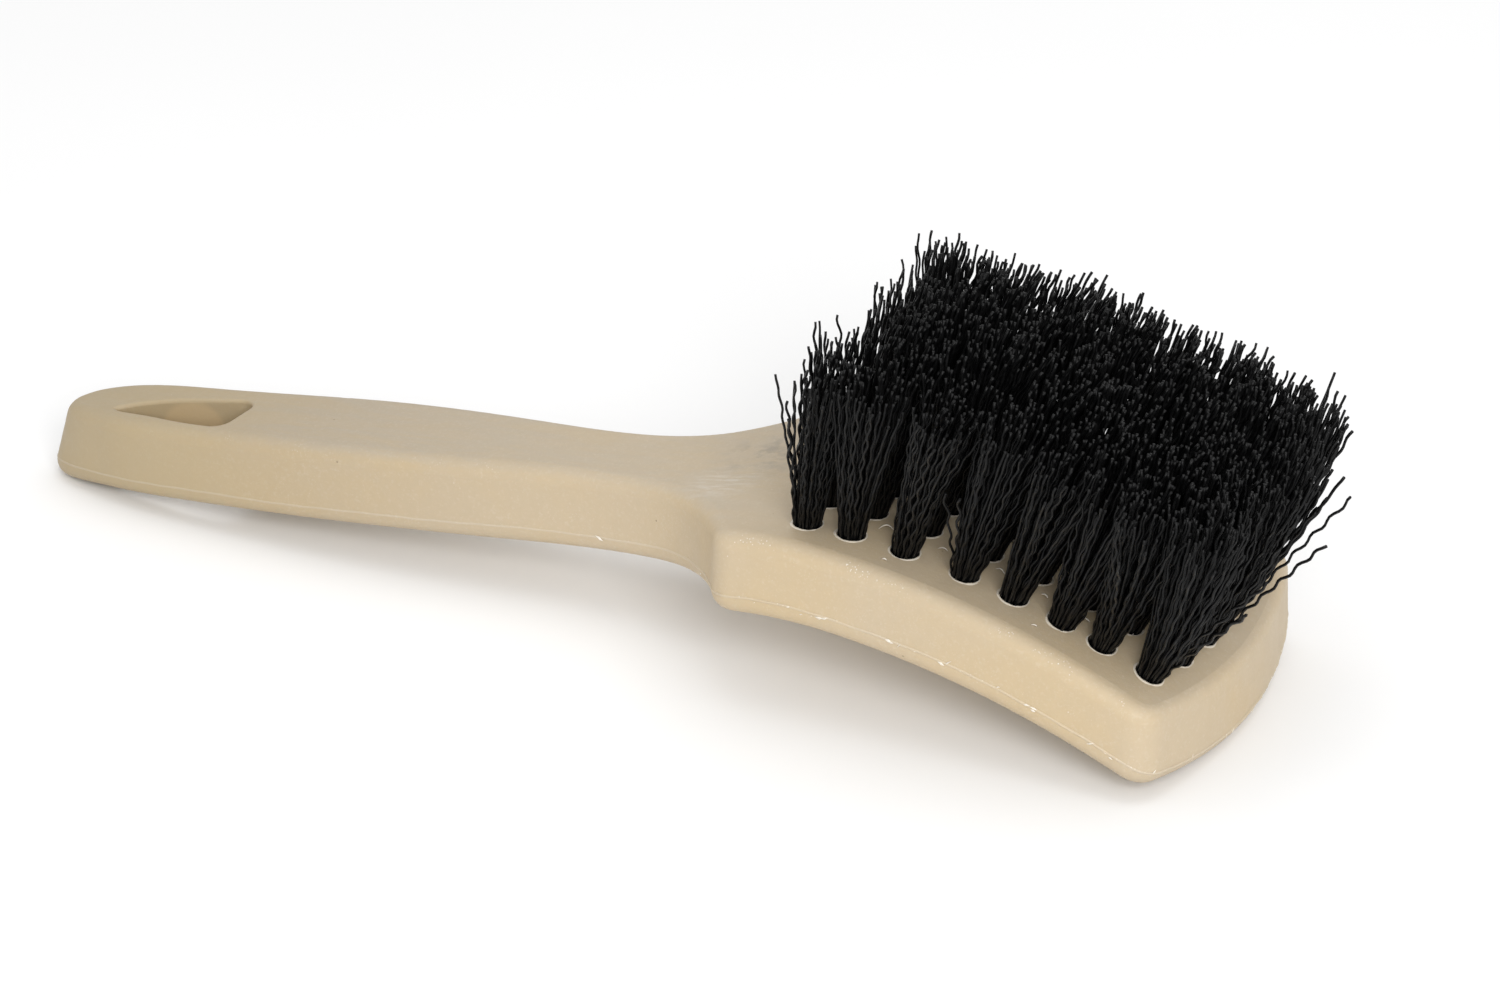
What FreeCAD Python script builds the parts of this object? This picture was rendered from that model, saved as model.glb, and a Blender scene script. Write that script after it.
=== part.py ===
import FreeCAD, Part
import math
import os

# Wheel brush: a moulded plastic block and handle in one piece, with crimped bristle tufts
# folded over small metal anchors and driven into blind drilled holes.
#
# Working frame, in millimetres: x runs from the handle's end to the head's tip, y across
# the brush, z up. The brush lies on its back, bristles up, on the plane z = 0. At the end
# everything is shifted so that the origin is under the middle of the whole brush's box.

# Driving dimensions of the block
LENGTH = 216.8             # handle end to head tip
HANDLE_DEPTH = 13.6        # top face to underside, upright
HEAD_DEPTH = 13.5
HANDLE_ENDS_X = 100.0      # the depth changes from here to where the head starts
HEAD_STARTS_X = 150.0
PARTING_DEPTH = 10.3       # the mould's parting line below the top face
DRAFT = math.radians(4.0)  # side walls narrow towards the top face
END_RAKE = 0.32            # the handle's end leans back this much per millimetre of height
END_RAKE_LENGTH = 13.0
CORNER_ROUND = 5.0         # the head's four upright corners
TOP_ROUND = 2.7
UNDERSIDE_ROUND = 2.7

# The top face's height along the brush: the handle climbs to a crest just behind the
# bristles, and the head curves down to the tip.
TOP_FACE = [(-8, 11.0), (0, 13.5), (30, 17.8), (65, 21.4), (100, 24.5), (122, 27.0),
            (140, 30.2), (152, 31.0), (165, 30.0), (190, 24.5), (216, 13.7), (226, 8.3)]

# Half widths at the parting line, as (x, half width): first the handle's rounded end, its
# long swell and the neck's flare, then the head's side
HANDLE_AND_NECK = [(0, 0), (1.0, 3.0), (5.0, 5.8), (13, 8.0), (30, 10.2), (56, 11.5),
                   (90, 10.6), (112, 10.2), (123, 12.8), (130, 17.2), (136, 23.4), (139.2, 28.4)]
HEAD_SIDE = [(139.2, 28.4), (174, 29.7), (211.2, 30.6)]

# Levels between which the drafted walls are ruled, below and above the whole block
LOW_LEVEL = -3.0
HIGH_LEVEL = 34.0

# Hanging hole through the handle: a teardrop, its point towards the handle's end and a
# little nearer the brush's near side. Its outline as (x, y) runs from the wide end's near
# corner round the point to the far corner.
HOLE_OUTLINE = [(37.2, -6.6), (28.3, -6.1), (20.5, -5.0), (14.6, -3.6),
                (18.8, -0.5), (26.5, 2.3), (38.2, 4.7)]
HOLE_CORNER_ROUND = 2.6
HOLE_RIM_ROUND = 0.6

# Tufts: eight columns along the head and six rows across it
COLUMN_X = [151.5, 158.8, 167.7, 177.6, 185.6, 193.4, 199.9, 207.6]
ROW_PITCH = 8.0
ROWS = 6
TIP_BOW = 2.2              # how far the last column bows towards the tip
LEAN_REAR = math.radians(11.0)
LEAN_TIP = math.radians(29.5)
LEAN_SIDE = math.radians(14.0)
DRILL_RADIUS = 2.3
DRILL_DEPTH = 9.0
DRILL_ENTRY = 3.0          # the drill's cut starts this far above the face
TUFT_FIT = 0.05            # gap between a tuft's root and its hole
TUFT_LENGTH = 28.8         # trimmed length above the face
TUFT_NECK = 0.8            # the tuft starts to spread this far above the face
TUFT_TOP_RADIUS = 3.6

# Anchors: a short strip of flat wire across the bottom of each hole, biting both walls
ANCHOR_THICK = 0.35
ANCHOR_HEIGHT = 1.8
ANCHOR_LENGTH = 5.4
ANCHOR_ABOVE_FLOOR = 1.2
ANCHOR_GAP = 0.02

UP = FreeCAD.Vector(0, 0, 1)


def spline(points):
    """A smooth curve through points, each (x, y, z)."""
    curve = Part.BSplineCurve()
    curve.interpolate([FreeCAD.Vector(*p) for p in points])
    return curve


def top_curve(drop=lambda x: 0.0):
    """The top face's curve in the middle plane, lowered by drop(x)."""
    return spline([(x, 0, z - drop(x)) for x, z in TOP_FACE])


CREST = top_curve()


def top_z(x):
    """Height of the top face at x."""
    across = Part.Plane(FreeCAD.Vector(x, 0, 0), FreeCAD.Vector(1, 0, 0))
    return CREST.intersectCS(across)[0][0].Z


def block_depth(x):
    """Thickness of the block at x, upright, changing evenly from the handle's to the head's."""
    share = (x - HANDLE_ENDS_X) / (HEAD_STARTS_X - HANDLE_ENDS_X)
    return HANDLE_DEPTH + (HEAD_DEPTH - HANDLE_DEPTH) * min(1.0, max(0.0, share))


def band():
    """The space between the top face and the underside, wider than the brush."""
    roof = top_curve().toShape()
    ground = top_curve(block_depth).toShape()
    ends = [Part.LineSegment(roof.Vertexes[i].Point, ground.Vertexes[i].Point).toShape()
            for i in (0, -1)]
    face = Part.Face(Part.Wire(Part.__sortEdges__([roof, ground] + ends)))
    face.translate(FreeCAD.Vector(0, -LENGTH / 4, 0))
    return face.extrude(FreeCAD.Vector(0, LENGTH / 2, 0))


def outline(level):
    """The block's plan outline at height level."""

    def placed(x, half, side):
        rise = level - (top_z(x) - PARTING_DEPTH)
        narrowed = half - rise * math.tan(DRAFT) if half else 0.0
        end_share = max(0.0, 1.0 - x / END_RAKE_LENGTH)
        return (x + end_share * rise * END_RAKE, side * narrowed, level)

    grip_points = [placed(x, half, -1) for x, half in reversed(HANDLE_AND_NECK)]
    grip_points += [placed(x, half, 1) for x, half in HANDLE_AND_NECK[1:]]
    near = [placed(x, half, -1) for x, half in HEAD_SIDE]
    far = [placed(x, half, 1) for x, half in reversed(HEAD_SIDE)]
    tip_rise = level - (top_z(LENGTH) - PARTING_DEPTH)
    tip = FreeCAD.Vector(LENGTH - tip_rise * math.tan(DRAFT), 0, level)
    bow = Part.Arc(FreeCAD.Vector(*near[-1]), tip, FreeCAD.Vector(*far[0]))
    # the long curve round the handle is cut at every fourth point, so that no wall is long
    grip = spline(grip_points)
    knots = [grip.getKnot(i) for i in range(1, grip.NbKnots + 1)]
    stops = knots[::4] + ([] if (len(knots) - 1) % 4 == 0 else [knots[-1]])
    edges = [grip.toShape(a, b) for a, b in zip(stops, stops[1:])]
    edges += [c.toShape() for c in (spline(near), bow, spline(far))]
    return Part.Wire(Part.__sortEdges__(edges))


def upright_corners(solid):
    """The four upright edges at the head's corners."""
    head_ends = (HEAD_SIDE[0][0], HEAD_SIDE[-1][0])
    found = []
    for edge in solid.Edges:
        low, high = (edge.valueAt(t) for t in (edge.FirstParameter, edge.LastParameter))
        at_corner = min(abs(low.x - x) for x in head_ends) < 0.5 * END_RAKE_LENGTH
        if abs(high.z - low.z) > HEAD_DEPTH and at_corner and abs(low.y) > HEAD_SIDE[0][1] / 2:
            found.append(edge)
    return found


def walls():
    """The drafted walls as a tall solid, with the head's corners rounded."""
    solid = Part.makeLoft([outline(LOW_LEVEL), outline(HIGH_LEVEL)], True, True)
    return solid.makeFillet(CORNER_ROUND, upright_corners(solid))


def rim(solid, drop):
    """The edges where the walls meet the top face lowered by drop(x)."""
    found = []
    for edge in solid.Edges:
        middle = edge.valueAt((edge.FirstParameter + edge.LastParameter) / 2)
        if abs(middle.z - (top_z(middle.x) - drop(middle.x))) < 0.02:
            found.append(edge)
    return found


def hanging_hole():
    """The cutter for the hole: a teardrop, pulled upright through the handle."""
    sides = spline([(x, y, LOW_LEVEL) for x, y in HOLE_OUTLINE]).toShape()
    wide_end = Part.makeLine(sides.Vertexes[-1].Point, sides.Vertexes[0].Point)
    prism = Part.Face(Part.Wire([sides, wide_end])).extrude(UP * HIGH_LEVEL)
    corners = [e for e in prism.Edges if abs(e.tangentAt(e.FirstParameter).z) > 0.9]
    return prism.makeFillet(HOLE_CORNER_ROUND, corners)


def hole_rim(solid):
    """The hanging hole's upper edges, each on one of the cutter's upright walls."""
    walls_there = hanging_hole()
    found = []
    for edge in rim(solid, lambda x: 0.0):
        middle = edge.valueAt((edge.FirstParameter + edge.LastParameter) / 2)
        if walls_there.distToShape(Part.Vertex(middle))[0] < 0.01:
            found.append(edge)
    return found


def tuft_places():
    """Each tuft as (column, row, point on the face, direction), counted from 1."""
    half_width = ROW_PITCH * (ROWS - 1) / 2
    for c, column_x in enumerate(COLUMN_X):
        along = (column_x - COLUMN_X[0]) / (COLUMN_X[-1] - COLUMN_X[0])
        lean = LEAN_REAR + (LEAN_TIP - LEAN_REAR) * along
        for r in range(ROWS):
            y = ROW_PITCH * r - half_width
            x = column_x + TIP_BOW * along ** 2 * (1 - (y / half_width) ** 2)
            side = LEAN_SIDE * y / half_width
            direction = FreeCAD.Vector(math.sin(lean) * math.cos(side), math.sin(side),
                                       math.cos(lean) * math.cos(side))
            yield c + 1, r + 1, FreeCAD.Vector(x, y, top_z(x)), direction


def along_tuft(shape, place, direction):
    """Turns a shape made along +Z from the origin onto a tuft's axis."""
    done = shape.copy()
    done.Placement = FreeCAD.Placement(place, FreeCAD.Rotation(UP, direction))
    return done


def anchor_strip(gap):
    """One anchor at a tuft's origin, grown by gap on every side."""
    size = [s + 2 * gap for s in (ANCHOR_THICK, ANCHOR_LENGTH, ANCHOR_HEIGHT)]
    floor = -DRILL_DEPTH + ANCHOR_ABOVE_FLOOR - gap
    return Part.makeBox(*size, FreeCAD.Vector(-size[0] / 2, -size[1] / 2, floor))


def tuft():
    """One tuft at the origin: a packed root in the hole, spreading above the face."""
    root = DRILL_RADIUS - TUFT_FIT
    floor = TUFT_FIT - DRILL_DEPTH
    corners = [(0, floor), (root, floor), (root, TUFT_NECK), (TUFT_TOP_RADIUS, TUFT_LENGTH),
               (0, TUFT_LENGTH), (0, floor)]
    profile = Part.makePolygon([FreeCAD.Vector(r, 0, z) for r, z in corners])
    solid = Part.Face(profile).revolve(FreeCAD.Vector(0, 0, 0), UP, 360)
    return solid.cut(anchor_strip(ANCHOR_GAP))


def block():
    """The moulded body with its hanging hole, drilled holes and anchor slots."""
    body = walls().common(band()).Solids[0]
    body = body.makeFillet(UNDERSIDE_ROUND, rim(body, block_depth))
    body = body.makeFillet(TOP_ROUND, rim(body, lambda x: 0.0))
    body = body.cut(hanging_hole())
    body = body.makeFillet(HOLE_RIM_ROUND, hole_rim(body))
    drill = Part.makeCylinder(DRILL_RADIUS, DRILL_DEPTH + DRILL_ENTRY,
                              FreeCAD.Vector(0, 0, -DRILL_DEPTH))
    slot = anchor_strip(ANCHOR_GAP)
    for _, _, place, direction in tuft_places():
        body = body.cut(along_tuft(drill.fuse(slot), place, direction))
    return body.Solids[0]


def main():
    nodes = {"block": block()}
    anchors = []
    for column, row, place, direction in tuft_places():
        nodes[f"tuft_c{column}_r{row}"] = along_tuft(tuft(), place, direction)
        anchors.append(along_tuft(anchor_strip(0.0), place, direction))
    nodes["tuft_anchors"] = Part.makeCompound(anchors)
    box = Part.makeCompound(list(nodes.values())).optimalBoundingBox(False)
    shift = FreeCAD.Vector(-box.Center.x, -box.Center.y, -box.ZMin)
    os.makedirs("parts", exist_ok=True)
    for name, shape in nodes.items():
        shape.translate(shift)
        shape.exportStep(f"parts/{name}.step")
    print("origin moved by", shift, "overall size", box.XLength, box.YLength, box.ZLength)


main()
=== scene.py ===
import math

import bpy
import numpy as np
from mathutils import Matrix, Vector
from mathutils.bvhtree import BVHTree


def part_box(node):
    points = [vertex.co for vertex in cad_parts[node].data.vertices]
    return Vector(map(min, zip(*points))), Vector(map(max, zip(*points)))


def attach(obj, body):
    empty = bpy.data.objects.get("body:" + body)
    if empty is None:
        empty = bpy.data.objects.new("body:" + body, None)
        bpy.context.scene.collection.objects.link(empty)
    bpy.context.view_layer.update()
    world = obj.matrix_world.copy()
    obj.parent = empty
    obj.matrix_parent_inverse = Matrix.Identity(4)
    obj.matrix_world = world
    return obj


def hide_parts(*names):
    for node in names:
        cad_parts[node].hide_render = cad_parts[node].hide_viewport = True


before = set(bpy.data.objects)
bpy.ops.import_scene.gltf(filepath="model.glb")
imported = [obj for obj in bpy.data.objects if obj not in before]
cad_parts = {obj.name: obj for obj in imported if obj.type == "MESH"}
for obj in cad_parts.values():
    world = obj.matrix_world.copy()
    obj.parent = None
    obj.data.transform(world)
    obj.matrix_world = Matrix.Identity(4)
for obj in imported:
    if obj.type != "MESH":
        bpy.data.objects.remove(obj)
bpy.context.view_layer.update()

# Looks of the wheel brush: the moulded block with its mould flash and drilling burrs, and
# the crimped filaments of the 48 tufts. Lengths here are in metres.

MM = 0.001
RNG = np.random.default_rng(20)

# Where the block lies in the row frame, from its own box
BLOCK_LOW, BLOCK_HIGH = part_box("block")
HANDLE_END_X = BLOCK_LOW.x
TIP_X = BLOCK_HIGH.x

ANY_ANGLE = 6.28               # range of a random angle or phase, in radians
GOLDEN_ANGLE = 2.39996         # between neighbours of an even spiral, in radians

# Bristles
COLUMNS = 8
ROWS = 6
TRIM_LENGTH = 28.8 * MM        # of a tuft above the face
FILAMENT_RADIUS = 0.245 * MM
FILAMENTS = 60                 # in each tuft
BUNDLE_RADIUS = 2.0 * MM       # filament centres at the hole's mouth
START_DEPTH = 2.0 * MM         # how deep in the hole the filaments begin
CRIMP_LENGTH = 4.3 * MM
CRIMP_HEIGHT = 0.20 * MM
FAN = 1.75                     # how much wider the bundle is at its tips
FAN_POWER = 0.95               # how evenly it widens along its length
COLUMN_BEND = [0.8, 0.5, 0.6, 0, -0.6, -1.2, -2.7, -4.3]    # of the tips, in mm forward
ROW_BEND = 1.6 * MM            # of the outer rows' tips, inward
ROW_TRIM = 0.035               # the near row is this share longer and the far row shorter
OWN_LEAN = 0.9 * MM            # how far a tuft's tips, and a filament's, stray by chance
STRAY_SHARE = 0.07             # of the filaments stray further
STRAY_MORE = 2.2
SHORT_SHARE = 0.06             # of the filaments are shorter
RINGS = 40
SIDES = 4

# Loose filaments that stand away from their tufts: (column, row) to (start forward, start
# sideways, bend forward, bend sideways, length), in millimetres
LOOSE = {
    (1, 1): [(-2.0, -0.6, -2.2, -0.8, 24.5), (-1.8, -1.2, -1.6, -1.4, 22.5),
             (-1.9, 0.2, -1.0, 0.3, 25.0)],
    (1, 3): [(-1.8, 0.4, -5.5, 0.5, 27.0)],
    (1, 5): [(-1.9, 0.3, -5.0, 1.2, 28.0)],
    (4, 1): [(-1.9, -0.9, -4.4, -1.4, 17.0), (-1.4, -1.5, -2.2, -2.4, 19.0)],
    (8, 1): [(1.9, -0.4, 4.6, -3.2, 26.5), (1.7, 0.9, 5.0, 0.8, 28.5)],
    (8, 3): [(1.9, -0.5, 5.0, -1.6, 28.5)],
    (8, 4): [(1.9, 0.5, 3.6, 1.0, 29.0)],
    (6, 6): [(-0.5, 1.5, -1.0, 1.0, 30.5), (0.2, 1.7, 0.4, 0.8, 31.0)],
}

# Block
PARTING_DEPTH = (10.5 * MM, 9.85 * MM)    # below the top face, on the handle and the head
NECK_FROM = 115 * MM           # the parting line changes depth from here, from the handle's end
NECK_LENGTH = 30 * MM
DRILL_RADIUS = 2.3 * MM
FLASH_SPACING = 0.45 * MM
FLASH_HEIGHT = (0.17, 0.02, 0.32)         # usual, least and most, in millimetres
FLASH_WAVES = [(7, 0.04), (23, 0.03), (61, 0.03), (143, 0.025), (301, 0.02)]
FLAKES = 52
FLAKE_WEIGHT = (2.2, 0.12)     # how readily flakes hang on the head, and on the handle
HEAD_FROM = 125 * MM           # the head's flakes begin here, from the handle's end
LIP_STEPS = 44                 # round each drilled hole
LIP_WAVES = [(1, 0.04), (2, 0.04), (3, 0.03), (7, 0.02), (11, 0.02)]
LIP_WIDTH_WAVES = [(1, 0.06), (2, 0.06), (5, 0.05)]
RAY_START_Z = 0.2              # above everything

# Shavings between the tufts: (distance from the handle's end, y, length), in millimetres
SHAVINGS = [(201.8, -13.6, 2.0), (199.0, -9.0, 1.6), (162.5, -15.8, 2.4), (172.0, -16.2, 1.8),
            (181.2, -15.6, 2.0), (188.8, -16.4, 1.4), (195.6, -17.0, 1.6), (172.8, 8.4, 1.6),
            (156.0, 15.0, 1.5), (204.6, 14.6, 1.8), (166.0, -24.3, 0.9), (190.6, -24.6, 0.9)]

# Camera: it is turned to an aim point, which it sees a little off the picture's middle
AIM_ALONG = 107.80                        # from the handle's end, in millimetres
AIM_HEIGHT = 9.337
VIEW_ANGLES = (26.65, 26.65, 0.98)        # azimuth, elevation and roll, in degrees
VIEW_DISTANCE = 751                       # in millimetres, as are the next two
AIM_RIGHT = -21.04                        # the aim point lies this far right of the middle
AIM_DOWN = 7.24                           # and this far below it
SENSOR_WIDTH = 36
LENS = 111.75

# Light
FLOOR_HALF = 4.0
WORLD_LIGHT = 0.75


# ---------------------------------------------------------------- mesh helpers

def mesh_object(name, verts, faces, smooth=True, flat_faces=()):
    """A new object from arrays; faces in flat_faces are shaded flat."""
    mesh = bpy.data.meshes.new(name)
    mesh.from_pydata([tuple(v) for v in verts], [], [tuple(f) for f in faces])
    shade = np.full(len(mesh.polygons), smooth)
    if len(flat_faces):
        shade[np.array(flat_faces)] = False
    mesh.polygons.foreach_set("use_smooth", shade)
    mesh.update()
    obj = bpy.data.objects.new(name, mesh)
    bpy.context.scene.collection.objects.link(obj)
    return obj


def tubes(lines, radius, sides):
    """Closed tubes along lines of shape (n, rings, 3). Returns verts, faces and cap indices."""
    n, rings, _ = lines.shape
    along = np.gradient(lines, axis=1)
    along /= np.linalg.norm(along, axis=2, keepdims=True)
    ref = np.array([0.31, 0.95, 0.05])
    side = np.cross(along, ref)
    side /= np.linalg.norm(side, axis=2, keepdims=True)
    other = np.cross(along, side)
    turn = np.arange(sides) * 2 * math.pi / sides
    ring = (np.cos(turn)[:, None] * side[:, :, None, :]
            + np.sin(turn)[:, None] * other[:, :, None, :])
    radius = np.broadcast_to(radius, (n, rings))
    verts = (lines[:, :, None, :] + ring * radius[:, :, None, None]).reshape(-1, 3)
    base = (np.arange(n) * rings * sides)[:, None, None]
    row = (np.arange(rings - 1) * sides)[None, :, None]
    j = np.arange(sides)[None, None, :]
    k = (j + 1) % sides
    quads = np.stack([base + row + j, base + row + k,
                      base + row + sides + k, base + row + sides + j], axis=-1).reshape(-1, 4)
    first = (np.arange(n) * rings * sides)[:, None]
    caps = np.concatenate([first + np.arange(sides)[::-1],
                           first + (rings - 1) * sides + np.arange(sides)])
    faces = quads.tolist() + caps.tolist()
    return verts, faces, range(len(quads), len(faces))


def piece(obj, material, slot, *nodes):
    """Gives obj its material, fixes it to the brush and hides the CAD nodes it stands for."""
    obj.data.materials.append(material)
    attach(obj, "root")
    if nodes:
        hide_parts(*nodes)


# ------------------------------------------------------------------- materials

class Nodes:
    """Short calls for building one material's node tree."""

    def __init__(self, name):
        self.material = bpy.data.materials.new(name)
        self.material.use_nodes = True
        self.tree = self.material.node_tree
        self.shader = self.tree.nodes["Principled BSDF"]
        self.place = self.add("ShaderNodeTexCoord").outputs["Object"]

    def add(self, kind, **settings):
        node = self.tree.nodes.new(kind)
        for key, value in settings.items():
            setattr(node, key, value)
        return node

    def link(self, source, target):
        self.tree.links.new(source, target)

    def put(self, value, socket):
        """Links value to the socket if it is an output, else sets it as the socket's constant."""
        if isinstance(value, bpy.types.NodeSocket):
            self.link(value, socket)
        else:
            socket.default_value = value

    def math(self, operation, a, b=0.0):
        node = self.add("ShaderNodeMath", operation=operation)
        self.put(a, node.inputs[0])
        self.put(b, node.inputs[1])
        return node.outputs[0]

    def stretched(self, scale):
        node = self.add("ShaderNodeMapping")
        node.inputs["Scale"].default_value = scale
        self.link(self.place, node.inputs["Vector"])
        return node.outputs["Vector"]

    def noise(self, scale, detail=3.0, rough=0.5, vector=None, distortion=0.0):
        node = self.add("ShaderNodeTexNoise")
        node.inputs["Scale"].default_value = scale
        node.inputs["Detail"].default_value = detail
        node.inputs["Roughness"].default_value = rough
        node.inputs["Distortion"].default_value = distortion
        self.link(vector or self.place, node.inputs["Vector"])
        return node.outputs["Fac"]

    def cells(self, scale):
        node = self.add("ShaderNodeTexVoronoi")
        node.inputs["Scale"].default_value = scale
        self.link(self.place, node.inputs["Vector"])
        return node.outputs["Distance"]

    def ramp(self, value, low, high):
        """0 below low and 1 above high, smooth between; low may be above high."""
        node = self.add("ShaderNodeMapRange", interpolation_type="SMOOTHSTEP")
        self.link(value, node.inputs["Value"])
        node.inputs["From Min"].default_value = min(low, high)
        node.inputs["From Max"].default_value = max(low, high)
        node.inputs["To Min"].default_value = 0.0 if low < high else 1.0
        node.inputs["To Max"].default_value = 1.0 if low < high else 0.0
        return node.outputs["Result"]

    def along(self):
        """Where a point lies along the brush."""
        node = self.add("ShaderNodeSeparateXYZ")
        self.link(self.place, node.inputs[0])
        return node.outputs["X"]

    def span(self, value, to_low, to_high):
        """A 0 to 1 value carried to another range."""
        node = self.add("ShaderNodeMapRange")
        self.link(value, node.inputs["Value"])
        node.inputs["To Min"].default_value = to_low
        node.inputs["To Max"].default_value = to_high
        return node.outputs["Result"]

    def mix(self, share, a, b, blend="MIX"):
        node = self.add("ShaderNodeMix", data_type="RGBA", blend_type=blend)
        self.put(share, node.inputs[0])
        self.put(a, node.inputs[6])
        self.put(b, node.inputs[7])
        return node.outputs[2]

    def near(self, point, radius, soft):
        """1 within radius of a point, falling to 0 over soft."""
        node = self.add("ShaderNodeVectorMath", operation="DISTANCE")
        self.link(self.place, node.inputs[0])
        node.inputs[1].default_value = point
        return self.ramp(node.outputs["Value"], radius + soft, radius)

    def bump(self, height, strength, distance, under=None):
        node = self.add("ShaderNodeBump")
        node.inputs["Strength"].default_value = strength
        node.inputs["Distance"].default_value = distance
        self.link(height, node.inputs["Height"])
        if under is not None:
            self.link(under, node.inputs["Normal"])
        return node.outputs["Normal"]

    def facing(self, direction):
        """How far the surface faces a direction, from -1 to 1."""
        geometry = self.add("ShaderNodeNewGeometry")
        node = self.add("ShaderNodeVectorMath", operation="DOT_PRODUCT")
        self.link(geometry.outputs["Normal"], node.inputs[0])
        node.inputs[1].default_value = direction
        return node.outputs["Value"]


def plastic(name, whiter=0.0):
    """Tan moulded plastic with flow marks, mottling, specks and scuffs, and some painted shade and
    light.
    """
    n = Nodes(name)
    tan = (0.505, 0.408, 0.280, 1)
    grey = (0.482, 0.405, 0.300, 1)
    warm = (0.520, 0.405, 0.250, 1)
    pale = (0.66, 0.59, 0.48, 1)

    cloud = n.noise(38, 4, 0.55, distortion=0.4)
    colour = n.mix(n.ramp(cloud, 0.35, 0.7), tan, warm)
    up = n.ramp(n.facing((0, 0, 1)), 0.45, 0.95)
    streaks = n.noise(1.0, 5, 0.6, n.stretched((45, 260, 260)), 1.2)
    grey_share = n.math("MULTIPLY", up, n.span(n.ramp(streaks, 0.35, 0.65), 0.45, 1.0))
    on_handle = n.ramp(n.along(), HANDLE_END_X + 148 * MM, HANDLE_END_X + 132 * MM)
    grey_share = n.math("MULTIPLY", grey_share, n.span(on_handle, 0.35, 1.0))
    colour = n.mix(grey_share, colour, grey)
    mottle = n.noise(620, 5, 0.65)
    colour = n.mix(n.span(n.ramp(mottle, 0.3, 0.7), 0.0, 0.10), colour, (0.39, 0.31, 0.20, 1))
    light_mottle = n.noise(1500, 3, 0.6)
    colour = n.mix(n.span(n.ramp(light_mottle, 0.5, 0.75), 0.0, 0.16), colour, pale)

    # the head's rounded edges are rubbed: tiny bright pits along them
    rubbed = n.ramp(n.math("ABSOLUTE", n.facing((0, 0.72, 0))), 0.22, 0.45)
    rubbed = n.math("MULTIPLY", rubbed, n.ramp(n.facing((0, 0, 1)), 0.35, 0.6))
    pits = n.ramp(n.cells(2100), 0.30, 0.14)
    pits = n.math("MULTIPLY", pits, n.ramp(n.noise(210, 2, 0.5), 0.50, 0.60))
    few = n.ramp(n.cells(520), 0.065, 0.03)
    few = n.math("MULTIPLY", few, n.ramp(n.noise(60, 2, 0.5), 0.55, 0.70))
    rubbed = n.math("MULTIPLY", rubbed, n.span(on_handle, 1.0, 0.25))
    specks = n.math("MAXIMUM", n.math("MULTIPLY", pits, n.span(rubbed, 0.10, 0.9)), few)
    colour = n.mix(n.math("MULTIPLY", specks, 0.75), colour, (0.86, 0.82, 0.74, 1))
    dark = n.ramp(n.cells(170), 0.036, 0.020)
    colour = n.mix(n.math("MULTIPLY", dark, 0.5), colour, (0.10, 0.07, 0.04, 1))

    # fine rubbed lines along the brush on the top face
    lines = n.noise(1.0, 3, 0.7, n.stretched((60, 2600, 2600)))
    lines = n.math("MULTIPLY", n.ramp(lines, 0.66, 0.76), up)
    lines = n.math("MULTIPLY", lines, n.ramp(n.noise(70, 2, 0.5), 0.5, 0.62))
    colour = n.mix(n.math("MULTIPLY", lines, 0.45), colour, pale)

    # painted shade of a shallow dip on the top of the neck, and a painted highlight beside it
    painted_dip_shade = n.near((HANDLE_END_X + 134.7 * MM, 2.7 * MM, 29 * MM), 2 * MM, 10 * MM)
    painted_dip_shade = n.math("MULTIPLY", painted_dip_shade, n.ramp(n.noise(330, 4, 0.6), 0.42, 0.66))
    colour = n.mix(n.math("MULTIPLY", painted_dip_shade, 0.42), colour, (0.21, 0.19, 0.165, 1))
    painted_dip_highlight = n.near((HANDLE_END_X + 131 * MM, -9 * MM, 28.5 * MM), 2 * MM, 6 * MM)
    drawn_out = n.noise(1.0, 3, 0.6, n.stretched((150, 900, 900)))
    painted_dip_highlight = n.math("MULTIPLY", painted_dip_highlight, n.ramp(drawn_out, 0.45, 0.65))
    colour = n.mix(n.math("MULTIPLY", painted_dip_highlight, 0.45), colour, (0.62, 0.58, 0.52, 1))

    # the plastic is yellower at the handle's end, and painted light makes the inside of the hanging
    # hole lighter and warmer
    end = n.near((HANDLE_END_X + 12 * MM, 0, 8 * MM), 14 * MM, 30 * MM)
    colour = n.mix(n.math("MULTIPLY", end, 0.6), colour, (0.500, 0.392, 0.225, 1))

    # painted light: the walls inside the hanging hole are painted lighter and warmer
    painted_hole_light = n.near((HANDLE_END_X + 27 * MM, -1.5 * MM, 11 * MM), 6 * MM, 1.2 * MM)
    painted_hole_light = n.math("MULTIPLY", painted_hole_light, n.ramp(n.facing((0, 0, 1)), 0.5, 0.1))
    colour = n.mix(n.math("MULTIPLY", painted_hole_light, 0.55), colour, (0.66, 0.49, 0.28, 1))

    # painted shade: the plastic is darkened towards the handle's end, standing in for the light
    # falling off there
    painted_light_falloff = n.ramp(n.along(), HANDLE_END_X - 10 * MM, HANDLE_END_X + 135 * MM)
    colour = n.mix(1.0, colour, n.span(painted_light_falloff, 0.79, 1.0), "MULTIPLY")
    if whiter:
        colour = n.mix(whiter, colour, (0.88, 0.85, 0.79, 1))
    n.link(colour, n.shader.inputs["Base Color"])

    gloss = n.span(n.ramp(n.noise(300, 4, 0.6), 0.3, 0.7), 0.47, 0.56)
    gloss = n.math("SUBTRACT", gloss, n.math("MULTIPLY", specks, 0.2))
    n.link(gloss, n.shader.inputs["Roughness"])
    n.shader.inputs["Specular IOR Level"].default_value = 0.42
    n.shader.inputs["Subsurface Weight"].default_value = 0.06
    n.shader.inputs["Subsurface Radius"].default_value = (1.0, 0.6, 0.35)
    n.shader.inputs["Subsurface Scale"].default_value = 0.0012

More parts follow.
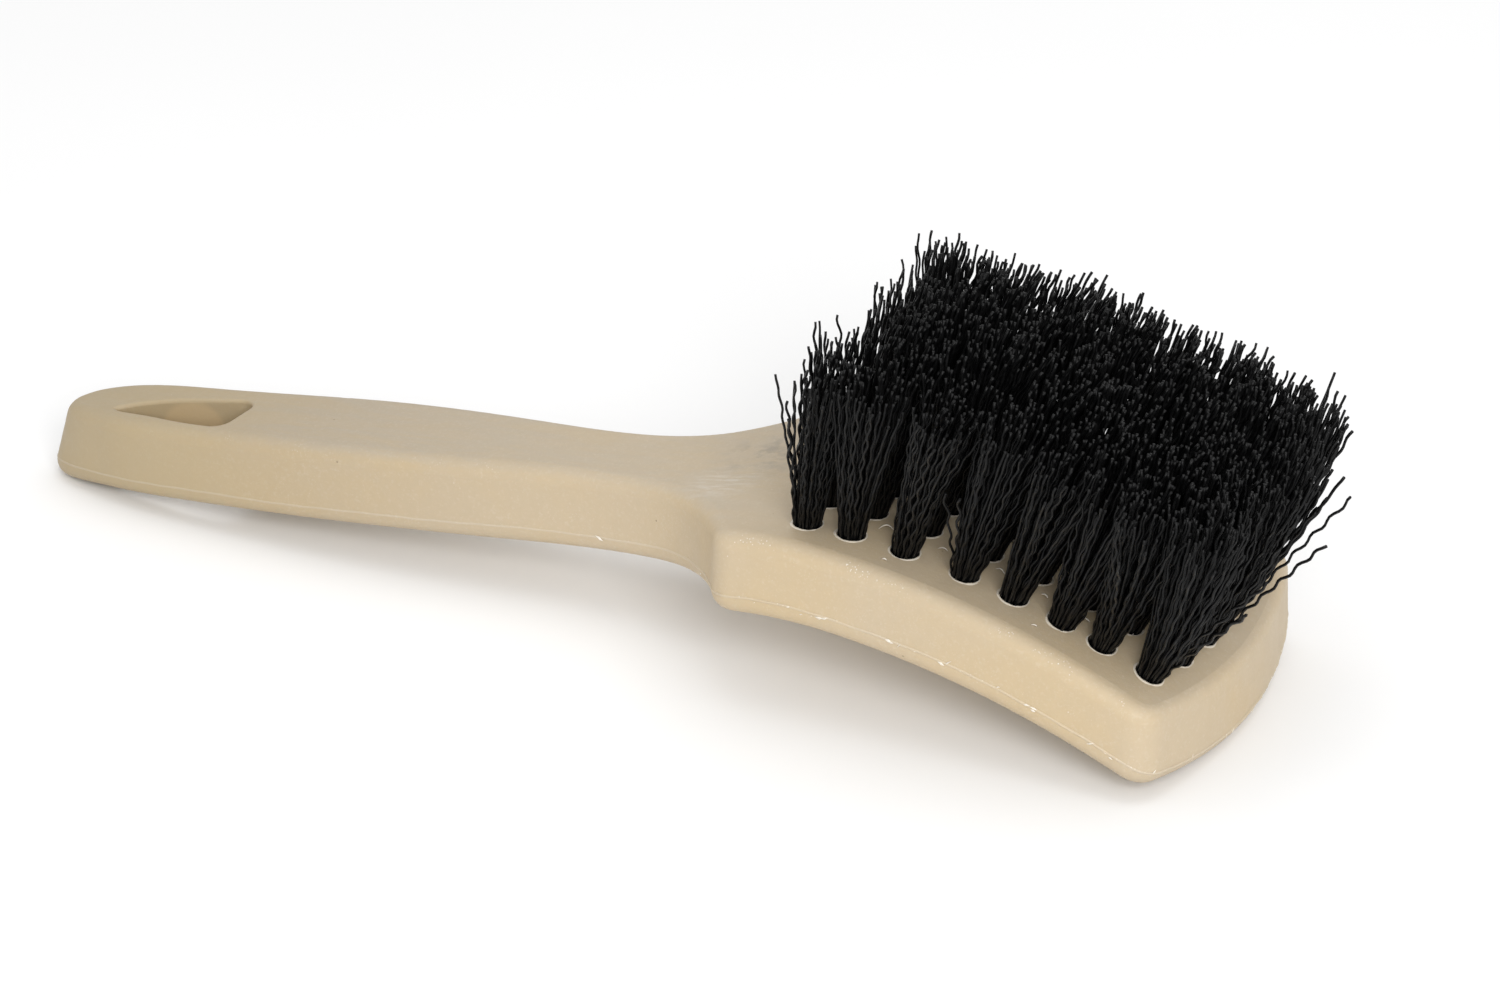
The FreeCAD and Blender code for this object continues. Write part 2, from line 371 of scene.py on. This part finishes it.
    soft = n.bump(n.noise(120, 3, 0.5), 0.20, 0.0006)
    peel = n.bump(n.noise(1300, 4, 0.6), 0.30, 0.00016, soft)
    pitted = n.bump(n.math("MULTIPLY", specks, -1.0), 0.5, 0.00012, peel)
    scored = n.bump(lines, 0.35, 0.0001, pitted)
    n.link(scored, n.shader.inputs["Normal"])
    return n.material


def filament_black():
    """Black drawn filament: faint length streaks, painted glints as grey specks, and a low sheen.
    """
    n = Nodes("filament_black")
    tone = n.noise(900, 4, 0.6)
    deep = (0.0018, 0.0018, 0.0020, 1)
    faded = (0.0065, 0.0064, 0.0065, 1)
    colour = n.mix(n.ramp(tone, 0.35, 0.7), deep, faded)
    # painted glints: grey specks in patches along the filaments
    painted_glints = n.math("MULTIPLY", n.ramp(n.noise(2600, 3, 0.6), 0.60, 0.76),
                  n.ramp(n.noise(130, 2, 0.5), 0.45, 0.62))
    colour = n.mix(n.math("MULTIPLY", painted_glints, 0.17), colour, (0.060, 0.057, 0.054, 1))
    n.link(colour, n.shader.inputs["Base Color"])
    gloss = n.span(n.ramp(n.noise(1700, 3, 0.6), 0.3, 0.7), 0.30, 0.50)
    n.link(gloss, n.shader.inputs["Roughness"])
    n.shader.inputs["Specular IOR Level"].default_value = 0.19
    n.link(n.bump(n.noise(1.0, 3, 0.6, n.stretched((5000, 5000, 900))), 0.25, 0.00004),
           n.shader.inputs["Normal"])
    return n.material


def flat_wire():
    """Drawn steel strip with length lines and dull patches."""
    n = Nodes("flat_wire")
    drawn = n.noise(1.0, 4, 0.6, n.stretched((9000, 700, 9000)))
    colour = n.mix(n.ramp(drawn, 0.3, 0.7), (0.50, 0.50, 0.50, 1), (0.68, 0.68, 0.67, 1))
    n.link(colour, n.shader.inputs["Base Color"])
    n.shader.inputs["Metallic"].default_value = 1.0
    n.link(n.span(drawn, 0.25, 0.45), n.shader.inputs["Roughness"])
    n.link(n.bump(drawn, 0.3, 0.00005), n.shader.inputs["Normal"])
    return n.material


def pale_floor():
    """A matt, nearly white floor."""
    n = Nodes("pale_floor")
    tone = n.noise(6, 3, 0.5)
    n.link(n.mix(tone, (0.90, 0.90, 0.90, 1), (0.93, 0.93, 0.93, 1)), n.shader.inputs["Base Color"])
    n.shader.inputs["Roughness"].default_value = 0.9
    n.shader.inputs["Specular IOR Level"].default_value = 0.0
    return n.material


# ---------------------------------------------------------------------- tufts

def tuft_axis(node):
    """The middle of a tuft where it leaves the face, its direction and two directions across."""
    co = np.array([v.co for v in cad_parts[node].data.vertices], float)
    middle = co.mean(0)
    _, _, rows = np.linalg.svd(co - middle, full_matrices=False)
    axis = rows[0] * np.sign(rows[0][2])
    reach = (co - middle) @ axis
    across = (co - middle) - np.outer(reach, axis)
    ring = reach > reach.max() - 0.05 * MM
    centre = middle + (across[ring].max(0) + across[ring].min(0)) / 2
    top = centre + axis * (reach.max() - (centre - middle) @ axis)
    rear = np.cross(np.cross(axis, [1.0, 0, 0]), axis)
    rear /= np.linalg.norm(rear)
    return top - axis * TRIM_LENGTH, axis, rear, np.cross(axis, rear)


def filaments(column, row, face, axis, forward, sideways):
    """Centre lines of one tuft's crimped filaments, as (filaments, rings, 3)."""
    count = FILAMENTS + int(RNG.integers(-3, 4))
    index = np.arange(count)
    rho = BUNDLE_RADIUS * np.sqrt((index + 0.5) / count)
    phi = index * GOLDEN_ANGLE + RNG.uniform(0, ANY_ANGLE)
    root = np.stack([rho * np.cos(phi), rho * np.sin(phi)], axis=1)
    root += RNG.normal(0, 0.07 * MM, root.shape)

    # the tuft as a whole leans and bends a little its own way
    outward = (2 * row - ROWS - 1) / (ROWS - 1)
    own_lean = RNG.normal(0, OWN_LEAN, 2)
    own_lean = own_lean + [COLUMN_BEND[column - 1] * MM, -ROW_BEND * outward]
    fan = FAN * RNG.uniform(0.85, 1.15)
    drift = RNG.normal(0, OWN_LEAN, (count, 2))
    stray = RNG.random(count) < STRAY_SHARE
    drift[stray] *= STRAY_MORE
    own_trim = RNG.normal(-ROW_TRIM * outward, 0.018)
    length = TRIM_LENGTH * (1 + np.clip(RNG.normal(own_trim, 0.037, count), -0.14, 0.090))
    length[RNG.random(count) < SHORT_SHARE] *= RNG.uniform(0.84, 0.95)

    share = np.linspace(0, 1, RINGS)[None, :]
    height = -START_DEPTH + share * (length[:, None] + START_DEPTH)
    free = np.clip(height / TRIM_LENGTH, 0, None)
    spread = 1 + fan * free ** FAN_POWER
    offset = root[:, None, :] * spread[:, :, None]
    offset += (drift[:, None, :] + own_lean) * (free ** 1.5)[:, :, None]

    wave = CRIMP_LENGTH * RNG.uniform(0.9, 1.12, count)[:, None]
    phase = RNG.uniform(0, 2 * math.pi, count)[:, None]
    swing = RNG.uniform(0, 2 * math.pi, count)
    size = CRIMP_HEIGHT * RNG.uniform(0.65, 1.25, count)[:, None]
    size = size * (0.25 + 0.75 * np.clip((height + 1 * MM) / (7 * MM), 0, 1))
    sine = np.sin(2 * math.pi * height / wave + phase) * size
    twist = np.sin(2 * math.pi * height / (wave * 1.9) + phase * 1.7) * size * 0.35
    offset[:, :, 0] += sine * np.cos(swing)[:, None] - twist * np.sin(swing)[:, None]
    offset[:, :, 1] += sine * np.sin(swing)[:, None] + twist * np.cos(swing)[:, None]
    return (face + height[:, :, None] * axis + offset[:, :, :1] * forward
            + offset[:, :, 1:] * sideways)


def loose_lines(places, face, axis, forward, sideways):
    """Centre lines of a tuft's loose filaments, as (filaments, rings, 3)."""
    lines = []
    for start_x, start_y, bend_x, bend_y, length in places:
        height = np.linspace(-START_DEPTH, length * MM, RINGS)
        free = np.clip(height / (length * MM), 0, None)
        out = (start_x + bend_x * free ** 1.25) * MM
        over = (start_y + bend_y * free ** 1.25) * MM
        phase = RNG.uniform(0, 2 * math.pi)
        size = CRIMP_HEIGHT * 1.3 * np.clip((height + 1 * MM) / (5 * MM), 0, 1)
        out = out + np.sin(2 * math.pi * height / CRIMP_LENGTH + phase) * size
        over = over + np.cos(2 * math.pi * height / (CRIMP_LENGTH * 1.6) + phase) * size * 0.6
        lines.append(face + np.outer(height, axis) + np.outer(out, forward)
                     + np.outer(over, sideways))
    return np.array(lines)


def make_tufts(material):
    """One piece of filaments for each tuft of the brush."""
    for column in range(1, COLUMNS + 1):
        for row in range(1, ROWS + 1):
            node = f"tuft_c{column}_r{row}"
            face, axis, forward, sideways = tuft_axis(node)
            lines = filaments(column, row, face, axis, forward, sideways)
            if (column, row) in LOOSE:
                extra = loose_lines(LOOSE[(column, row)], face, axis, forward, sideways)
                lines = np.concatenate([lines, extra])
            radius = FILAMENT_RADIUS * RNG.uniform(0.92, 1.08, len(lines))[:, None]
            verts, faces, caps = tubes(lines, radius, SIDES)
            obj = mesh_object(f"bristles_c{column}_r{row}", verts, faces, True, list(caps))
            piece(obj, material, "bristle", node)


# ---------------------------------------------------------------------- block

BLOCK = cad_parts["block"]
SURFACE = BVHTree.FromPolygons([v.co.copy() for v in BLOCK.data.vertices],
                               [tuple(p.vertices) for p in BLOCK.data.polygons])


def top_heights():
    """Samples of the top face's height along the brush, beside the hanging hole."""
    xs, zs = [], []
    for step in range(14, 213, 2):
        x = HANDLE_END_X + step * MM
        y = (4.2 if step < 26 else 6.2 if step < 42 else 0.0) * MM
        hit = SURFACE.ray_cast(Vector((x, y, RAY_START_Z)), Vector((0, 0, -1)))[0]
        if hit is not None:
            xs.append(x)
            zs.append(hit.z)
    return np.array(xs), np.array(zs)


TOP_X, TOP_Z = top_heights()


def parting_z(x):
    """Height of the mould's parting line at x."""
    slope = (TOP_Z[3] - TOP_Z[0]) / (TOP_X[3] - TOP_X[0])
    tip_slope = (TOP_Z[-1] - TOP_Z[-4]) / (TOP_X[-1] - TOP_X[-4])
    if x < TOP_X[0]:
        top = TOP_Z[0] + slope * (x - TOP_X[0])
    elif x > TOP_X[-1]:
        top = TOP_Z[-1] + tip_slope * (x - TOP_X[-1])
    else:
        top = np.interp(x, TOP_X, TOP_Z)
    share = np.clip((x - HANDLE_END_X - NECK_FROM) / NECK_LENGTH, 0, 1)
    return float(top) - (PARTING_DEPTH[0] * (1 - share) + PARTING_DEPTH[1] * share)


def wall_point(centre_x, angle):
    """Where the parting line crosses the ray that comes in at an angle towards centre_x."""
    reach = 0.09
    direction = Vector((math.cos(angle), math.sin(angle), 0))
    x = centre_x
    found = None
    for _ in range(4):
        start = Vector((centre_x, 0, parting_z(x))) + direction * reach
        hit, normal, _, _ = SURFACE.ray_cast(start, -direction)
        if hit is None:
            return found
        found = (hit, normal)
        x = hit.x
    return found


def parting_loop(spacing):
    """The parting line round the block, evenly spaced, as points and outward normals."""
    nose = HANDLE_END_X + 14 * MM
    head = TIP_X - 20 * MM
    rays = [(x, -math.pi / 2) for x in np.arange(nose, head, 0.35 * MM)]
    rays += [(head, a) for a in np.linspace(-math.pi / 2, math.pi / 2, 240)]
    rays += [(x, math.pi / 2) for x in np.arange(head, nose, -0.35 * MM)]
    rays += [(nose, a) for a in np.linspace(math.pi / 2, 3 * math.pi / 2, 120)]
    hits = [h for h in (wall_point(x, a) for x, a in rays) if h is not None]
    points = np.array([h[0] for h in hits])
    normals = np.array([h[1] for h in hits])
    step = np.linalg.norm(np.diff(points, axis=0, append=points[:1]), axis=1)
    keep = step > 1e-7
    points, normals, step = points[keep], normals[keep], step[keep]
    reach = np.concatenate([[0], np.cumsum(step)])
    at = np.arange(0, reach[-1], spacing)
    closed = np.concatenate([points, points[:1]])
    closed_n = np.concatenate([normals, normals[:1]])
    out = np.stack([np.interp(at, reach, closed[:, i]) for i in range(3)], axis=1)
    out_n = np.stack([np.interp(at, reach, closed_n[:, i]) for i in range(3)], axis=1)
    out_n /= np.linalg.norm(out_n, axis=1, keepdims=True)
    return out, out_n


def rough_wave(count, spans):
    """Smooth closed random values, a sum of waves with the given numbers of periods."""
    at = np.linspace(0, 2 * math.pi, count, endpoint=False)
    total = np.zeros(count)
    for span, weight in spans:
        total += weight * np.sin(span * at + RNG.uniform(0, ANY_ANGLE))
    return total


def closed_strip(name, points, across, up, profile):
    """A closed ribbon of solid section swept round a loop. profile is (rings, corners, 2)."""
    rings, corners, _ = profile.shape
    verts = (points[:, None, :] + profile[:, :, :1] * across[:, None, :]
             + profile[:, :, 1:] * up[:, None, :]).reshape(-1, 3)
    i = np.arange(rings)[:, None] * corners
    n = ((np.arange(rings) + 1) % rings)[:, None] * corners
    j = np.arange(corners)[None, :]
    k = (j + 1) % corners
    faces = np.stack([i + j, i + k, n + k, n + j], axis=-1).reshape(-1, 4)
    return mesh_object(name, verts, faces.tolist())


def make_flash(material):
    """The thin ridge that the mould leaves round the block, uneven and chipped."""
    points, normals = parting_loop(FLASH_SPACING)
    count = len(points)
    along = np.roll(points, -1, axis=0) - np.roll(points, 1, axis=0)
    along /= np.linalg.norm(along, axis=1, keepdims=True)
    up = np.cross(normals, along)
    up /= np.linalg.norm(up, axis=1, keepdims=True)
    up *= np.sign(up[:, 2:3])
    usual, least, most = FLASH_HEIGHT
    height = usual + rough_wave(count, FLASH_WAVES)
    chipped = rough_wave(count, [(37, 1.0), (83, 0.8), (127, 0.7)]) > 1.55
    height[chipped] *= 0.25
    head_share = np.clip((points[:, 0] - HANDLE_END_X - 118 * MM) / (24 * MM), 0, 1)
    height = np.clip(height * (0.30 + 0.70 * head_share), least, most) * MM
    wander = rough_wave(count, [(5, 0.12), (17, 0.06), (71, 0.03)]) * MM
    points = points + up * wander[:, None]
    one = np.ones(count)
    profile = np.stack([
        np.stack([-0.15 * MM * one, -0.42 * MM * one], axis=1),
        np.stack([0.35 * height, -0.17 * MM * one], axis=1),
        np.stack([height, -0.02 * MM * one], axis=1),
        np.stack([0.45 * height, 0.13 * MM * one], axis=1),
        np.stack([-0.15 * MM * one, 0.30 * MM * one], axis=1)], axis=1)
    obj = closed_strip("mould_flash", points, normals, up, profile)
    piece(obj, material, "block_plastic")
    return points, normals, up


def shard(centre, across, up, along, size):
    """One irregular flake, as verts and faces of a squashed octahedron."""
    jitter = RNG.uniform(0.6, 1.2, 6)
    ends = [along * size * jitter[0], -along * size * jitter[1],
            up * size * 0.32 * jitter[2], -up * size * 0.32 * jitter[3],
            across * size * 0.30 * jitter[4], -across * size * 0.30 * jitter[5]]
    verts = [centre + e for e in ends]
    faces = [(0, 2, 4), (2, 1, 4), (1, 3, 4), (3, 0, 4),
             (2, 0, 5), (1, 2, 5), (3, 1, 5), (0, 3, 5)]
    return verts, faces


def make_flakes(material, points, normals, up):
    """Small torn flakes of flash that still hang on the parting line."""
    verts, faces = [], []
    weight = np.where(points[:, 0] > HANDLE_END_X + HEAD_FROM, *FLAKE_WEIGHT)
    for start in RNG.choice(len(points), FLAKES, p=weight / weight.sum()):
        along = points[(start + 1) % len(points)] - points[start]
        along /= np.linalg.norm(along)
        tilt = RNG.normal(0, 0.5)
        direction = along * math.cos(tilt) + up[start] * math.sin(tilt)
        size = RNG.uniform(0.25, 0.95) * MM
        centre = points[start] + normals[start] * 0.08 * MM + up[start] * RNG.normal(0, 0.25) * MM
        v, f = shard(centre, normals[start], up[start], direction, size)
        faces += [tuple(i + len(verts) for i in face) for face in f]
        verts += v
    obj = mesh_object("flash_flakes", verts, faces, False)
    piece(obj, material, "block_plastic")


def make_burrs(material):
    """Raised, uneven lips round the mouths of the drilled holes."""
    verts, faces = [], []
    steps = LIP_STEPS
    corners = 5
    for column in range(1, COLUMNS + 1):
        for row in range(1, ROWS + 1):
            face, axis, forward, sideways = tuft_axis(f"tuft_c{column}_r{row}")
            turn = np.linspace(0, 2 * math.pi, steps, endpoint=False)
            lip = 0.05 + rough_wave(steps, LIP_WAVES)
            near_side = np.clip(-np.sin(turn), 0, 1)
            lip = np.clip(lip + 0.06 * near_side, 0.004, 0.24) * MM
            wide = 0.16 + 0.16 * near_side + rough_wave(steps, LIP_WIDTH_WAVES)
            wide = np.clip(wide, 0.04, 0.5) * MM
            base = len(verts)
            for a, high, width in zip(turn, lip, wide):
                out = forward * math.cos(a) + sideways * math.sin(a)
                start = face + out * (DRILL_RADIUS + 0.12 * MM) + axis * 4 * MM
                hit, normal, _, _ = SURFACE.ray_cast(Vector(start), Vector(-axis))
                level = np.array(hit) if hit is not None else face + out * DRILL_RADIUS
                rise = np.array(normal) if hit is not None else axis
                inner = level - out * 0.16 * MM
                verts += [inner - rise * 0.25 * MM, inner + rise * high * 0.8,
                          level + rise * high, level + out * width * 0.6 + rise * high * 0.35,
                          level + out * width - rise * 0.06 * MM]
            for i in range(steps):
                n = (i + 1) % steps
                for j in range(corners):
                    k = (j + 1) % corners
                    faces.append((base + i * corners + j, base + n * corners + j,
                                  base + n * corners + k, base + i * corners + k))
    obj = mesh_object("drill_burrs", verts, faces)
    piece(obj, material, "block_plastic")


def curl(start, direction, rise, length, width, bend):
    """A shaving's centre line and its width along it."""
    t = np.linspace(0, 1, 14)
    line = (start + np.outer(t * length, direction)
            + np.outer(np.sin(t * bend) * length * 0.35, rise))
    return line, width * np.sin(np.clip(t * 0.94 + 0.03, 0, 1) * math.pi) ** 0.5


def make_shavings(material):
    """A few curls of plastic left between the tufts by the drilling."""
    lines, radii = [], []
    for x, y, length in SHAVINGS:
        above = Vector((HANDLE_END_X + x * MM, y * MM, RAY_START_Z))
        hit, normal, _, _ = SURFACE.ray_cast(above, Vector((0, 0, -1)))
        if hit is None:
            continue
        normal = np.array(normal)
        heading = RNG.uniform(-0.6, 0.6)
        direction = np.cross(normal, [math.sin(heading), -math.cos(heading), 0.0])
        direction /= np.linalg.norm(direction)
        line, width = curl(np.array(hit) - direction * length * MM / 2 + normal * 0.02 * MM,
                           direction, normal, length * MM, RNG.uniform(0.10, 0.17) * MM,
                           RNG.uniform(2.2, 3.1))
        lines.append(line)
        radii.append(width)
    verts, faces, caps = tubes(np.array(lines), np.array(radii), 5)
    obj = mesh_object("plastic_shavings", verts, faces, True, list(caps))
    piece(obj, material, "block_plastic")


# ------------------------------------------------------------- camera and light

def make_camera():
    """The camera looks down on the brush from in front of the head's near side."""
    azimuth, elevation, roll = (math.radians(a) for a in VIEW_ANGLES)
    ahead = Vector((-math.sin(azimuth) * math.cos(elevation),
                    math.cos(azimuth) * math.cos(elevation), -math.sin(elevation)))
    right = Vector((math.cos(azimuth), math.sin(azimuth), 0))
    down = ahead.cross(right)
    turned_right = right * math.cos(roll) + down * math.sin(roll)
    turned_down = down * math.cos(roll) - right * math.sin(roll)
    aim = Vector((HANDLE_END_X + AIM_ALONG * MM, 0, AIM_HEIGHT * MM))
    place = aim - turned_right * AIM_RIGHT * MM - turned_down * AIM_DOWN * MM
    place = place - ahead * VIEW_DISTANCE * MM
    camera = bpy.data.objects.new("camera", bpy.data.cameras.new("camera"))
    camera.data.sensor_width = SENSOR_WIDTH
    camera.data.lens = LENS
    camera.data.clip_start = 0.05
    camera.data.clip_end = 20
    axes = Matrix((turned_right, -turned_down, -ahead)).transposed()
    camera.matrix_world = Matrix.Translation(place) @ axes.to_4x4()
    bpy.context.scene.collection.objects.link(camera)
    bpy.context.scene.camera = camera


def softbox(name, place, size, power, target=(0.02, 0, 0.02)):
    """A rectangular light at place, turned to target."""
    light = bpy.data.lights.new(name, "AREA")
    light.shape = "RECTANGLE"
    light.size, light.size_y = size
    light.energy = power
    obj = bpy.data.objects.new(name, light)
    obj.location = place
    obj.rotation_euler = (Vector(target) - Vector(place)).to_track_quat("-Z", "Y").to_euler()
    bpy.context.scene.collection.objects.link(obj)


def make_stage():
    """Soft studio light on a pale floor."""
    world = bpy.data.worlds.new("studio")
    world.use_nodes = True
    world.node_tree.nodes["Background"].inputs["Color"].default_value = (1, 1, 1, 1)
    world.node_tree.nodes["Background"].inputs["Strength"].default_value = WORLD_LIGHT
    bpy.context.scene.world = world
    softbox("key", (0.57, -0.76, 0.55), (0.5, 0.4), 7.0, (0.06, 0, 0.02))
    softbox("top", (0.2, 0.1, 1.5), (1.2, 1.2), 4.8)
    half = FLOOR_HALF
    corners = [(-half, -half, 0), (half, -half, 0), (half, half, 0), (-half, half, 0)]
    floor = mesh_object("floor", corners, [(0, 1, 2, 3)])
    floor.data.materials.append(pale_floor())
    bpy.context.scene.view_settings.view_transform = "Standard"


# ------------------------------------------------------------------------ build

def dress(node, material):
    """Puts a material on a CAD node that stays as it is."""
    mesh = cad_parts[node].data
    mesh.materials.clear()
    mesh.materials.append(material)


block_plastic = plastic("tan_plastic")
torn_plastic = plastic("torn_plastic", whiter=0.62)
make_tufts(filament_black())
dress("block", block_plastic)
dress("tuft_anchors", flat_wire())
flash = make_flash(plastic("flash_plastic", whiter=0.10))
make_flakes(torn_plastic, *flash)
make_burrs(plastic("lip_plastic", whiter=0.38))
make_shavings(torn_plastic)
make_camera()
make_stage()
